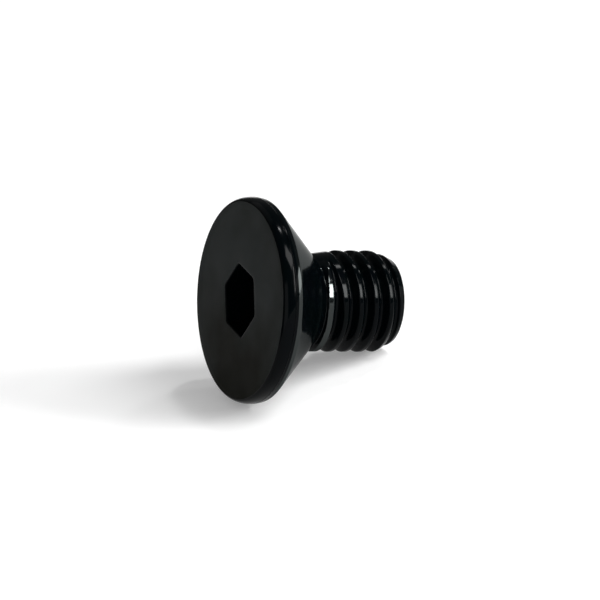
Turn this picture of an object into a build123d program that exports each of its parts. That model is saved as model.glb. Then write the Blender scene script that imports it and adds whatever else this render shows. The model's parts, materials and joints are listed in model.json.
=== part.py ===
"""Flat head socket screw, M5 by 8 mm, made in one piece of steel.

The screw is drawn upright, with its axis on Z, the face of its head at z = 0 and its tip at
z = length. At the end it is laid down as it comes to rest, on the rim of its head and on the
last turn of its thread. Sizes are in millimetres and angles in degrees.
"""

import os
from math import atan2, cos, degrees, radians, sin, tan

from build123d import *

# Head
head_diameter = 9.85  # across the rim
rim_height = 0.78  # from the face to the start of the cone
cone_angle = 92.0
edge_width = 0.23  # how far the rounded edge reaches in over the face
edge_height = 0.6  # how far it reaches down the rim
rim_fillet = 0.1  # between the rim and the cone

# Key socket
socket_width = 3.05  # across flats, for a 3 mm key
socket_depth = 2.0
socket_point_angle = 120.0
socket_turn = 8.0  # from +X, as drawn, to a corner of the hexagon

# Shank
length = 7.72  # overall, with the head
neck_step = 0.225  # how far the neck lies inside the crests of the thread
neck_length = 0.02  # straight part between the fillet and the run-out
neck_fillet = 0.2
runout_length = 0.5  # where the shank widens from its neck to the full thread
point_length = 0.57
point_step = 0.375  # how far the end of the point lies inside the crests

# Thread, right-hand; its form goes with its pitch
thread_diameter = 4.85
pitch = 0.8
flank_angle = 60.0
crest_share = 0.25  # width of the crests, as a share of the pitch
depth_share = 0.48  # depth of the groove, as a share of the pitch
root_share = 0.06  # fillet radius at the bottom of the groove, as a share of the pitch
groove_clearance = 0.1  # how far the form that cuts the groove stands out past the crests

# Lying position
thread_roll = -28.0  # how far the screw is rolled about its axis from the way it is drawn

head_radius = head_diameter / 2
thread_radius = thread_diameter / 2
neck_radius = thread_radius - neck_step
point_radius = thread_radius - point_step
crest_land = crest_share * pitch
groove_depth = depth_share * pitch
groove_radius = thread_radius - groove_depth

# Heights along the axis, from the face of the head
cone_slope = tan(radians(cone_angle / 2))
neck_start = rim_height + (head_radius - neck_radius) / cone_slope
runout_start = neck_start + neck_fillet * tan(radians(cone_angle / 4)) + neck_length
point_start = length - point_length

# The groove has its full depth from groove_start to the tip. Towards the head it climbs on a
# cone, clear of the crests after half a turn.
groove_start = neck_start + pitch / 2
fade_climb = 2 * (groove_depth + groove_clearance)
fade_angle = degrees(atan2(fade_climb, pitch))


def groove_section():
    """Draw the groove's section on the +X side, with the middle of its root at groove_start."""
    flank_slope = tan(radians(flank_angle / 2))
    form_depth = groove_depth + groove_clearance
    root_half = (pitch - crest_land) / 2 - groove_depth * flank_slope
    mouth_half = root_half + form_depth * flank_slope
    side = Plane(origin=(groove_radius, 0, groove_start), x_dir=(1, 0, 0), z_dir=(0, -1, 0))
    with BuildSketch(side) as section:
        with BuildLine():
            Polyline(
                (0, -root_half),
                (form_depth, -mouth_half),
                (form_depth, mouth_half),
                (0, root_half),
                close=True,
            )
        make_face()
        fillet(section.vertices().sort_by(Axis.X)[:2], root_share * pitch)
    return section.sketch


# Threaded rod, from which the shank is made: its ends and the groove's lie past the shank's
with BuildPart() as rod:
    with BuildSketch(Plane.XY.offset(neck_start - pitch)):
        Circle(thread_radius)
    extrude(amount=length - neck_start + 3 * pitch)

    # The groove at its full depth
    with BuildLine() as thread_path:
        Helix(pitch, length + pitch - groove_start, groove_radius, (0, 0, groove_start))
    sweep(groove_section(), thread_path.line, is_frenet=True, mode=Mode.SUBTRACT)

    # Start of the groove, where it fades out towards the head. A helix that runs down starts
    # on -X, so it is turned to meet the full groove on +X.
    fade_pitch = pitch / cos(radians(fade_angle))
    with BuildLine() as fade_path:
        Helix(fade_pitch, pitch, groove_radius, (0, 0, groove_start), (0, 0, -1), fade_angle)
    fade_line = fade_path.line.rotate(Axis.Z, 180)
    sweep(groove_section(), fade_line, is_frenet=True, mode=Mode.SUBTRACT)

with BuildPart() as screw:
    # Shank: its run-out and its point, turned down from the rod
    with BuildSketch(Plane.XZ):
        Polygon(
            (0, runout_start),
            (neck_radius, runout_start),
            (thread_radius, runout_start + runout_length),
            (thread_radius, point_start),
            (point_radius, length),
            (0, length),
            align=None,
        )
    revolve(axis=Axis.Z)
    add(rod.part, mode=Mode.INTERSECT)

    # Head, cone and neck
    with BuildSketch(Plane.XZ):
        with BuildLine():
            face = Line((0, 0), (head_radius - edge_width, 0))
            edge = EllipticalCenterArc(
                (head_radius - edge_width, edge_height), edge_width, edge_height, -90, arc_size=90
            )
            side = Polyline(
                edge @ 1,
                (head_radius, rim_height),
                (neck_radius, neck_start),
                (neck_radius, runout_start),
                (0, runout_start),
            )
            Line(side @ 1, face @ 0)
        make_face()
    revolve(axis=Axis.Z)
    circles = screw.edges().filter_by(GeomType.CIRCLE)
    fillet(circles.filter_by(lambda e: abs(e.center().Z - rim_height) < 1e-6), rim_fillet)
    circles = screw.edges().filter_by(GeomType.CIRCLE)
    fillet(circles.filter_by(lambda e: abs(e.center().Z - neck_start) < 1e-6), neck_fillet)

    # Hexagon socket with the cone that its punch leaves at the bottom
    with BuildSketch(Plane.XY):
        RegularPolygon(socket_width / 2, 6, major_radius=False, rotation=socket_turn)
    extrude(amount=socket_depth, mode=Mode.SUBTRACT)
    socket_point = socket_width / 2 / tan(radians(socket_point_angle / 2))
    with Locations((0, 0, socket_depth + socket_point / 2)):
        Cone(socket_width / 2, 0, socket_point, mode=Mode.SUBTRACT)

# Laid down: the rim and the start of the point touch the floor, so the axis dips to the tip
dip = atan2(head_radius - thread_radius, point_start - rim_height)
lying = Plane(origin=(0, 0, 0), x_dir=(sin(dip), 0, cos(dip)), z_dir=(cos(dip), 0, -sin(dip)))
screw.part = lying.from_local_coords(screw.part.rotate(Axis.Z, thread_roll))
box = screw.part.bounding_box()
screw.part.position -= (box.center().X, box.center().Y, box.min.Z)

screw.part.label = "flat_head_screw"
os.makedirs("parts", exist_ok=True)
export_step(screw.part, "parts/flat_head_screw.step")
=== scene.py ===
import json
import math

import bmesh
import bpy
import numpy as np
from mathutils import Matrix, Quaternion, Vector


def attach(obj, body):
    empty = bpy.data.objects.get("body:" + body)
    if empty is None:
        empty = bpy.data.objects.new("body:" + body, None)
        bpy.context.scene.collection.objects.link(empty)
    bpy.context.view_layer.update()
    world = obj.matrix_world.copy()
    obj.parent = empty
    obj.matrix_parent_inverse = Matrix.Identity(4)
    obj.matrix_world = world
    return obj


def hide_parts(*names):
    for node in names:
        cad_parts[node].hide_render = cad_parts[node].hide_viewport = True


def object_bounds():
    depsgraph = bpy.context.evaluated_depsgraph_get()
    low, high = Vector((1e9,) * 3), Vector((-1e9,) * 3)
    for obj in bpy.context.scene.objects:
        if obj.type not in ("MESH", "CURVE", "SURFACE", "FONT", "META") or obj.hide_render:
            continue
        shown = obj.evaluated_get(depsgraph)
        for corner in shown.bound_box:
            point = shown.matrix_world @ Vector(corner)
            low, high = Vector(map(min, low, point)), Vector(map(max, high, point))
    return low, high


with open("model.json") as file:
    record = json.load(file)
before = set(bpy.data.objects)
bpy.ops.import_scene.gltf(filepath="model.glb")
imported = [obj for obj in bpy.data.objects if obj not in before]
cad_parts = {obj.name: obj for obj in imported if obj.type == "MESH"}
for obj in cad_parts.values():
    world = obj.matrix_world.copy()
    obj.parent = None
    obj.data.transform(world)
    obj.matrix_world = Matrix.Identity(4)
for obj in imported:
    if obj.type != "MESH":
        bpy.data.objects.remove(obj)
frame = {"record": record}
cad_low, cad_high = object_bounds()

# ---------------------------------------------------------------- where the screw lies
# One flat head screw of blackened steel lies on the rim of its head and the last turn of its
# thread. Heights, in mm, count along its axis from the middle of the head's face to the tip,
# and angles round the axis count from its uppermost side.
MM = 0.001
mounts = {mount["name"]: mount for mount in frame["record"]["mounts"]}
face_centre = Vector(mounts["hex_socket"]["pos_m"])
to_tip = Vector(mounts["thread"]["axis"]).normalized()
to_top = Vector((-to_tip.z, 0.0, to_tip.x))
to_side = to_tip.cross(to_top)

# ---------------------------------------------------------------- key socket
# A hexagon for a 3 mm key, punched cold into the head: flat sides with slightly rounded
# corners, a soft edge at the mouth and a shallow cone at the bottom. The screw's surface
# starts in it and goes on from ring to ring, over the head and down the thread to the tip.
MATT, GLOSSY, THIN, RUBBED = range(4)
columns = 240
socket_half = 3.07 / 2
socket_depth = 2.0
socket_corner = 0.03
corner_blend = 0.03
corner_angle = math.radians(-20.3)
bottom_radius = 1.5
bottom_depth = 0.83
mouth_edge = 0.05

angles = corner_angle + np.arange(columns) * 2 * math.pi / columns
points = []
faces = []
face_finish = []


def ring(radius, height):
    """A ring of points round the axis; radius and height may differ from column to column."""
    first = len(points)
    radius = np.broadcast_to(radius, columns)
    height = np.broadcast_to(height, columns)
    for angle, r, h in zip(angles, radius, height):
        points.append(
            face_centre
            + to_tip * (h * MM)
            + to_top * (r * math.cos(angle) * MM)
            + to_side * (r * math.sin(angle) * MM)
        )
    return list(range(first, first + columns))


def middle(height):
    """A ring that is drawn together to one point on the axis."""
    points.append(face_centre + to_tip * (height * MM))
    return [len(points) - 1] * columns


def skin(rings, finish):
    """Faces between rings, with their outside to the right of the way from ring to ring. A
    ring that is drawn together to a point gets triangles."""
    for near, far in zip(rings, rings[1:]):
        for i in range(columns):
            j = (i + 1) % columns
            corners = dict.fromkeys((near[i], far[i], far[j], near[j]))
            faces.append(tuple(corners))
            face_finish.append(finish)


def bends(steps):
    """Angles along a quarter round, from the first step to the whole quarter."""
    return [math.radians(90 * step / steps) for step in range(1, steps + 1)]


def socket_radius(grown=0.0):
    """Distance from the axis to the side of the hexagon, grown outwards all round."""
    turn = np.mod(angles - corner_angle, math.radians(60)) - math.radians(30)
    flat = (socket_half + grown) / np.cos(turn)
    corner = (socket_half + grown) / math.cos(math.radians(30)) - socket_corner
    return -np.log(np.exp(-flat / corner_blend) + np.exp(-corner / corner_blend)) * corner_blend


socket = [middle(socket_depth + bottom_depth)]
for share in (0.04, 0.3, 0.6, 0.85, 1.0):
    socket.append(ring(bottom_radius * share, socket_depth + bottom_depth * (1 - share)))
for height in np.linspace(socket_depth, mouth_edge, 8):
    socket.append(ring(socket_radius(), height))
for bend in bends(5):
    radius = socket_radius(mouth_edge * (1 - math.cos(bend)))
    socket.append(ring(radius, mouth_edge * (1 - math.sin(bend))))
skin(socket, GLOSSY)

# ---------------------------------------------------------------- head
# The flat face, turned and tumbled to a matt skin, ends in a rounded edge and a short rim.
# A narrow bevel leads from the rim into the cone, 92 degrees across, that seats in the
# countersink. A small fillet joins the cone to the neck.
head_radius = 9.85 / 2
edge_width = 0.23
edge_height = 0.6
rim_height = 0.87
cone_degrees = 46
cone_half = math.radians(cone_degrees)
neck_radius = 2.24
neck_fillet = 0.1
fillet_steps = 7
# Three slopes: the first and last angle to the axis, in degrees, and the width, in mm.
bevel_slopes = ((0, 6, 0.1), (6, 15, 0.22), (15, cone_degrees, 0.06))
slope_steps = 4
oiled_steps = 5

flat_radius = head_radius - edge_width
mouth_radius = socket_radius(mouth_edge)
flat_face = [socket[-1]]
for share in (0.08, 0.2, 0.35, 0.5, 0.65, 0.8, 0.92, 1.0):
    flat_face.append(ring(mouth_radius + (flat_radius - mouth_radius) * share, 0.0))
skin(flat_face, MATT)

edge = [flat_face[-1]]
for bend in bends(14):
    radius = flat_radius + edge_width * math.sin(bend)
    edge.append(ring(radius, edge_height * (1 - math.cos(bend))))

steps = []
for start, end, width in bevel_slopes:
    for number in range(slope_steps):
        share = (number + 0.5) / slope_steps
        steps.append((math.radians(start + (end - start) * share), width / slope_steps))
cut = sum(width * math.sin(slope) for slope, width in steps)
cone_first = rim_height + cut / math.tan(cone_half)
radius = head_radius
height = cone_first - sum(width * math.cos(slope) for slope, width in steps)
bevel = [ring(radius, height)]
for slope, width in steps:
    radius -= width * math.sin(slope)
    height += width * math.cos(slope)
    bevel.append(ring(radius, height))
skin(edge + bevel[: oiled_steps + 1], GLOSSY)

cone_end = rim_height + (head_radius - neck_radius) / math.tan(cone_half)
fillet_reach = neck_fillet * math.tan(cone_half / 2)
cone_last = cone_end - fillet_reach * math.cos(cone_half)
shank_start = cone_end + fillet_reach
cone = bevel[oiled_steps:]
for height in np.linspace(cone_first, cone_last, 16)[1:]:
    cone.append(ring(head_radius - (height - rim_height) * math.tan(cone_half), height))
for step in range(1, fillet_steps + 1):
    bend = cone_half * (1 - step / fillet_steps)
    radius = neck_radius + neck_fillet * (1 - math.cos(bend))
    cone.append(ring(radius, shank_start - neck_fillet * math.sin(bend)))
skin(cone, THIN)

# ---------------------------------------------------------------- thread
# A right-hand metric thread, 0.8 mm pitch, rolled into the shank from the neck to the tip.
# Its groove starts shallow under the head, where the neck swells to the height of the crests,
# later on one side than on the other. The tip is chamfered, so the last turn runs out in it.
crest_radius = 4.85 / 2
pitch = 0.8
flank = math.tan(math.radians(60))
groove_depth = 0.384
groove_start = 3.84
groove_angle = math.radians(-28)
groove_turns = range(-2, 7)
sink_turns = 0.33
sink_per_turn = 1.6
root_half = 0.078
root_rounding_squared = 0.0022
crest_blend = 0.05
runout_end = 3.51
slant_length = 1.45
slant_angle = math.radians(-40)
slant_narrowness = 4
lead_length = 0.3
lead_angle = math.radians(60)
first_radius = 2.418
first_length = 0.5
first_blend = 0.02
point_start = 6.95
point_radius = 2.07
length = 7.72
tip_edge = 0.03
rows_per_turn = 30
thin_band = 0.03
rubbed_band = 0.02


def soft_min(a, b, blend):
    """The smaller of two, with the corner between them rounded off."""
    h = np.clip(0.5 + 0.5 * (b - a) / blend, 0, 1)
    return b * (1 - h) + a * h - blend * h * (1 - h)


def blank_radius(height, angle):
    """Radius of the neck, its run-out and the shank before the groove is rolled."""
    slant = slant_length * (0.5 + 0.5 * np.cos(angle - slant_angle)) ** slant_narrowness
    lead = lead_length * (0.5 - 0.5 * np.cos(angle - lead_angle))
    runout = runout_end + slant + lead
    grown = (height - shank_start) / (runout - shank_start)
    rise = neck_radius + (first_radius - neck_radius) * grown
    swell = first_radius + (crest_radius - first_radius) * (height - runout) / first_length
    blank = np.minimum(soft_min(rise, swell, first_blend), crest_radius)
    point = np.clip((height - point_start) / (length - point_start), 0, 1)
    return blank - (crest_radius - point_radius) * point


def groove_radius(height, along):
    """Radius of the root and flanks of the groove, so many turns along from its start."""
    root = crest_radius - groove_depth + sink_per_turn * np.maximum(0, sink_turns - along)
    side = np.abs(height - (groove_start + pitch * along)) - root_half
    wall = root + flank * np.maximum(side, 0)
    round_root = root + flank * 0.5 * (side + np.sqrt(side * side + root_rounding_squared))
    return np.maximum(wall, round_root)


def shank_radius(height, angle):
    """Radius of the threaded shank at a height on the axis and an angle from the top."""
    turns = (angle - groove_angle) / (2 * math.pi)
    groove = np.min([groove_radius(height, turns + count) for count in groove_turns], axis=0)
    return soft_min(blank_radius(height, angle), groove, crest_blend)


def shank_row(number):
    """Heights and radii of a row that follows the thread and stops at the shank's ends."""
    turns = number / rows_per_turn + (angles - angles[0]) / (2 * math.pi)
    height = np.clip(shank_start + pitch * turns, shank_start, length - tip_edge)
    radius = np.where(height <= shank_start, neck_radius, shank_radius(height, angles))
    return height, radius


def shank_finish(height, radius, angle):
    """Thin skin on the first crest, rubbed skin on the others and gloss on the flanks."""
    first_groove = groove_start + pitch * (angle - groove_angle) / (2 * math.pi)
    if height < first_groove and radius > crest_radius - thin_band:
        return THIN
    if height < point_start and radius > crest_radius - rubbed_band:
        return RUBBED
    return GLOSSY


row_count = int((length - shank_start) / pitch * rows_per_turn) + 1
shank = {n: shank_row(n) for n in range(-rows_per_turn, row_count + rows_per_turn + 1)}
rows = {n: ring(radius, height) for n, (height, radius) in shank.items()}
for n in range(-rows_per_turn, row_count):
    height, radius = shank[n]
    for i in range(columns):
        # The last column meets the first one where the thread has gone a turn further.
        j, further = (i + 1, n) if i < columns - 1 else (0, n + rows_per_turn)
        faces.append((rows[n][i], rows[n + 1][i], rows[further + 1][j], rows[further][j]))
        face_finish.append(shank_finish(height[i], radius[i], angles[i]))

tip_radius = shank_radius(np.full(columns, length - tip_edge), angles)
tip = [ring(tip_radius, length - tip_edge)]
for bend in bends(4):
    radius = tip_radius - tip_edge * (1 - math.cos(bend))
    tip.append(ring(radius, length - tip_edge * (1 - math.sin(bend))))
for share in (0.8, 0.5, 0.2, 0.03):
    tip.append(ring((tip_radius - tip_edge) * share, length))
tip.append(middle(length))
skin(tip, GLOSSY)

# ---------------------------------------------------------------- the screw in one piece
# All the surfaces above close into one solid of steel, blackened in a hot salt bath and oiled.
# The dark skin is matt on the tumbled face and glossy on rim and flanks. It is thin on the cone
# and on the first crest, where some steel shines through, and a little rubbed on the crests.
# On the face, shade is painted into the tone: it is darker towards the underside and lighter
# towards the top.
join_distance = 2e-7
# Tones of the matt face, mixed at random; the dark one is also painted in low on the face as
# shade.
matt_tones = ((0.0038, 0.0040, 0.0022), (0.0195, 0.0225, 0.0222))
glossy_tones = ((0.0003, 0.0010, 0.0012), (0.0005, 0.0009, 0.0014))
steel_colour = (0.78, 0.86, 0.84)
cloud_low = 0.35
cloud_high = 0.65
# Painted shade on the face runs from darkest at the floor to lightest at this share of the
# screw's height.
painted_shade_top = 0.62
smear_share = 0.4

mesh = bpy.data.meshes.new("screw")
mesh.from_pydata([tuple(point) for point in points], [], faces)
mesh.polygons.foreach_set("material_index", face_finish)
work = bmesh.new()
work.from_mesh(mesh)
bmesh.ops.remove_doubles(work, verts=work.verts, dist=join_distance)
bmesh.ops.dissolve_degenerate(work, edges=work.edges, dist=join_distance / 2)
bmesh.ops.recalc_face_normals(work, faces=work.faces)
work.to_mesh(mesh)
work.free()
mesh.polygons.foreach_set("use_smooth", [True] * len(mesh.polygons))
screw = bpy.data.objects.new("screw", mesh)
bpy.context.scene.collection.objects.link(screw)


def black_skin(
    name,
    tones,
    specular,
    drift=1.5,
    painted_shade=0,
    gloss=(0.08, 0.14),
    grain=(0.05, 0.0003),
    waves=(0.7, 0.006),
    bare=0,
):
    """Black oxide on steel. Two tones drift into each other at random over a distance in mm, and
    the share after that paints shade into the tone, darker towards the underside and lighter
    towards the top. Gloss is the least and most roughness, grain and waves are unevenness as
    (size, depth) in mm, and bare is the share of steel that shows."""
    material = bpy.data.materials.new(name)
    material.use_nodes = True
    nodes = material.node_tree.nodes
    links = material.node_tree.links
    shader = nodes["Principled BSDF"]
    shader.inputs["Specular IOR Level"].default_value = specular
    place = nodes.new("ShaderNodeTexCoord")

    def clouds(size, detail):
        noise = nodes.new("ShaderNodeTexNoise")
        noise.inputs["Scale"].default_value = 1 / (size * MM)
        noise.inputs["Detail"].default_value = detail
        links.new(place.outputs["Object"], noise.inputs["Vector"])
        return noise.outputs["Fac"]

    tone = nodes.new("ShaderNodeValToRGB")
    for stop, position, colour in zip(tone.color_ramp.elements, (cloud_low, cloud_high), tones):
        stop.position = position
        stop.color = (*colour, 1)
    # Painted shade: the tone is pushed darker towards the underside and lighter towards the top.
    height = nodes.new("ShaderNodeSeparateXYZ")
    links.new(place.outputs["Object"], height.inputs["Vector"])
    painted_shading = nodes.new("ShaderNodeMapRange")
    painted_shading.inputs["From Max"].default_value = cad_high.z * painted_shade_top
    painted_shading.inputs["To Min"].default_value = -0.5 * painted_shade
    painted_shading.inputs["To Max"].default_value = 0.5 * painted_shade
    links.new(height.outputs["Z"], painted_shading.inputs["Value"])
    blend = nodes.new("ShaderNodeMath")
    blend.operation = "ADD"
    links.new(clouds(drift, 3), blend.inputs[0])
    links.new(painted_shading.outputs["Result"], blend.inputs[1])
    links.new(blend.outputs["Value"], tone.inputs["Fac"])
    links.new(tone.outputs["Color"], shader.inputs["Base Color"])

    smear = nodes.new("ShaderNodeMapRange")
    smear.inputs["From Min"].default_value = cloud_low
    smear.inputs["From Max"].default_value = cloud_high
    smear.inputs["To Min"].default_value = gloss[0]
    smear.inputs["To Max"].default_value = gloss[1]
    links.new(clouds(drift * smear_share, 4), smear.inputs["Value"])
    links.new(smear.outputs["Result"], shader.inputs["Roughness"])

    normal = None
    for size, depth in (waves, grain):
        bump = nodes.new("ShaderNodeBump")
        bump.inputs["Distance"].default_value = depth * MM
        links.new(clouds(size, 2), bump.inputs["Height"])
        if normal:
            links.new(normal, bump.inputs["Normal"])
        normal = bump.outputs["Normal"]
    links.new(normal, shader.inputs["Normal"])

    if bare:
        steel = nodes.new("ShaderNodeBsdfGlossy")
        steel.inputs["Color"].default_value = (*steel_colour, 1)
        links.new(smear.outputs["Result"], steel.inputs["Roughness"])
        links.new(normal, steel.inputs["Normal"])
        share = nodes.new("ShaderNodeMixShader")
        share.inputs["Fac"].default_value = bare
        links.new(shader.outputs["BSDF"], share.inputs[1])
        links.new(steel.outputs["BSDF"], share.inputs[2])
        links.new(share.outputs["Shader"], nodes["Material Output"].inputs["Surface"])
    return material


finishes = {
    # The matt face gets painted shade, darker towards its underside.
    MATT: black_skin(
        "matt_oxide",
        matt_tones,
        specular=0.02,
        drift=6,
        painted_shade=0.45,
        gloss=(0.4, 0.5),
        grain=(0.06, 0.0015),
        waves=(1.5, 0.004),
    ),
    GLOSSY: black_skin("oiled_oxide", glossy_tones, specular=0.04),
    THIN: black_skin(
        "thin_oxide",
        glossy_tones,
        specular=0.002,
        gloss=(0.06, 0.1),
        grain=(0.05, 0.0001),
        waves=(0.7, 0.003),
        bare=0.042,
    ),
    RUBBED: black_skin("rubbed_oxide", glossy_tones, specular=0.03, bare=0.0015),
}
for number in sorted(finishes):
    mesh.materials.append(finishes[number])
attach(screw, "root")
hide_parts("flat_head_screw")

# ---------------------------------------------------------------- floor
# A plain pale sheet of card that the screw lies on, flat and unglazed. It looks white to the
# eye and in what the steel reflects, and it keeps the screw's shadow.
floor_half = 1.5
card_colour = (0.8, 0.8, 0.8)
card_glow = 0.22

card = bpy.data.meshes.new("floor")
corners = [
    (-floor_half, -floor_half, 0),
    (floor_half, -floor_half, 0),
    (floor_half, floor_half, 0),
    (-floor_half, floor_half, 0),
]
card.from_pydata(corners, [], [(0, 1, 2, 3)])
floor = bpy.data.objects.new("floor", card)
bpy.context.scene.collection.objects.link(floor)
paper = bpy.data.materials.new("pale_card")
paper.use_nodes = True
nodes = paper.node_tree.nodes
links = paper.node_tree.links
shader = nodes["Principled BSDF"]
shader.inputs["Base Color"].default_value = (*card_colour, 1)
shader.inputs["Roughness"].default_value = 0.9
shader.inputs["Specular IOR Level"].default_value = 0.0
ray = nodes.new("ShaderNodeLightPath")
seen = ray.outputs["Is Camera Ray"]
for kind in ("Is Glossy Ray", "Is Transmission Ray"):
    either = nodes.new("ShaderNodeMath")
    either.operation = "MAXIMUM"
    links.new(seen, either.inputs[0])
    links.new(ray.outputs[kind], either.inputs[1])
    seen = either.outputs["Value"]
glow = nodes.new("ShaderNodeMath")
glow.operation = "MULTIPLY"
glow.inputs[1].default_value = card_glow
links.new(seen, glow.inputs[0])
shader.inputs["Emission Color"].default_value = (1, 1, 1, 1)
links.new(glow.outputs["Value"], shader.inputs["Emission Strength"])
card.materials.append(paper)

# ---------------------------------------------------------------- light
# A soft key light and a narrow leaning window stand to the right in front, with two small
# lamps high over the tip, a low doorway and weak fills in front and behind. The room is dim.
room_strength = 0.13
lamps_aim = Vector((0, 0, 0.004))

world = bpy.data.worlds.new("studio")
bpy.context.scene.world = world
world.use_nodes = True
room = world.node_tree.nodes["Background"]
room.inputs["Color"].default_value = (1, 1, 1, 1)
room.inputs["Strength"].default_value = room_strength


def lamp(name, azimuth, elevation, distance, size, power, lean=0):
    """A flat lamp, of some width and height, that faces the screw. Azimuth 0 is in front, at
    -Y, and 90 is at +X. Lean is how far its top leans towards a larger azimuth."""
    data = bpy.data.lights.new(name, "AREA")
    data.shape = "RECTANGLE"
    data.size, data.size_y = size
    data.energy = power
    a, e = math.radians(azimuth), math.radians(elevation)
    way = Vector((math.sin(a) * math.cos(e), -math.cos(a) * math.cos(e), math.sin(e)))
    light = bpy.data.objects.new(name, data)
    light.location = way * distance + lamps_aim
    leaning = Quaternion((0, 0, 1), math.radians(-lean))
    light.rotation_euler = (way.to_track_quat("Z", "Y") @ leaning).to_euler()
    bpy.context.scene.collection.objects.link(light)


lamp("window", azimuth=39, elevation=22, distance=0.5, size=(0.08, 0.24), power=2.15, lean=37)
lamp("key", azimuth=48, elevation=48, distance=1.0, size=(0.3, 0.4), power=6.0)
lamp("overhead", azimuth=102, elevation=41, distance=0.5, size=(0.06, 0.06), power=0.22)
lamp("spot", azimuth=103, elevation=59, distance=0.5, size=(0.036, 0.036), power=0.4)
lamp("doorway", azimuth=60, elevation=8, distance=0.5, size=(0.2, 0.13), power=0.55)
lamp("front", azimuth=-33, elevation=19, distance=1.0, size=(0.8, 0.8), power=3.3)
lamp("back", azimuth=180, elevation=50, distance=1.0, size=(0.8, 0.8), power=0.5)

# ---------------------------------------------------------------- camera
# A long lens looks down on the screw from the side of its head, a little rolled. Its view is
# 28.45 mm wide where the screw lies, and its middle is to the right of the head.
camera_back = Vector((-0.3266, -0.8664, 0.3775)).normalized()
camera_up = Vector((0.3529, 0.2588, 0.8992))
camera_roll = math.radians(0.4)
camera_distance = 0.4
view_width = 28.45 * MM
aim_right = 2.856 * MM
aim_up = 0.012 * MM
sensor_width = 36

camera_right = camera_up.cross(camera_back).normalized()
camera_right = Matrix.Rotation(camera_roll, 3, camera_back) @ camera_right
camera_up = camera_back.cross(camera_right).normalized()
aim = face_centre + camera_right * aim_right + camera_up * aim_up
camera_data = bpy.data.cameras.new("camera")
camera_data.sensor_width = sensor_width
camera_data.lens = sensor_width * camera_distance / view_width
camera_data.clip_start = 0.01
camera_data.clip_end = 20
camera = bpy.data.objects.new("camera", camera_data)
bpy.context.scene.collection.objects.link(camera)
turn = Matrix((camera_right, camera_up, camera_back)).transposed().to_4x4()
camera.matrix_world = Matrix.Translation(aim + camera_back * camera_distance) @ turn
bpy.context.scene.camera = camera
bpy.context.scene.view_settings.view_transform = "Standard"
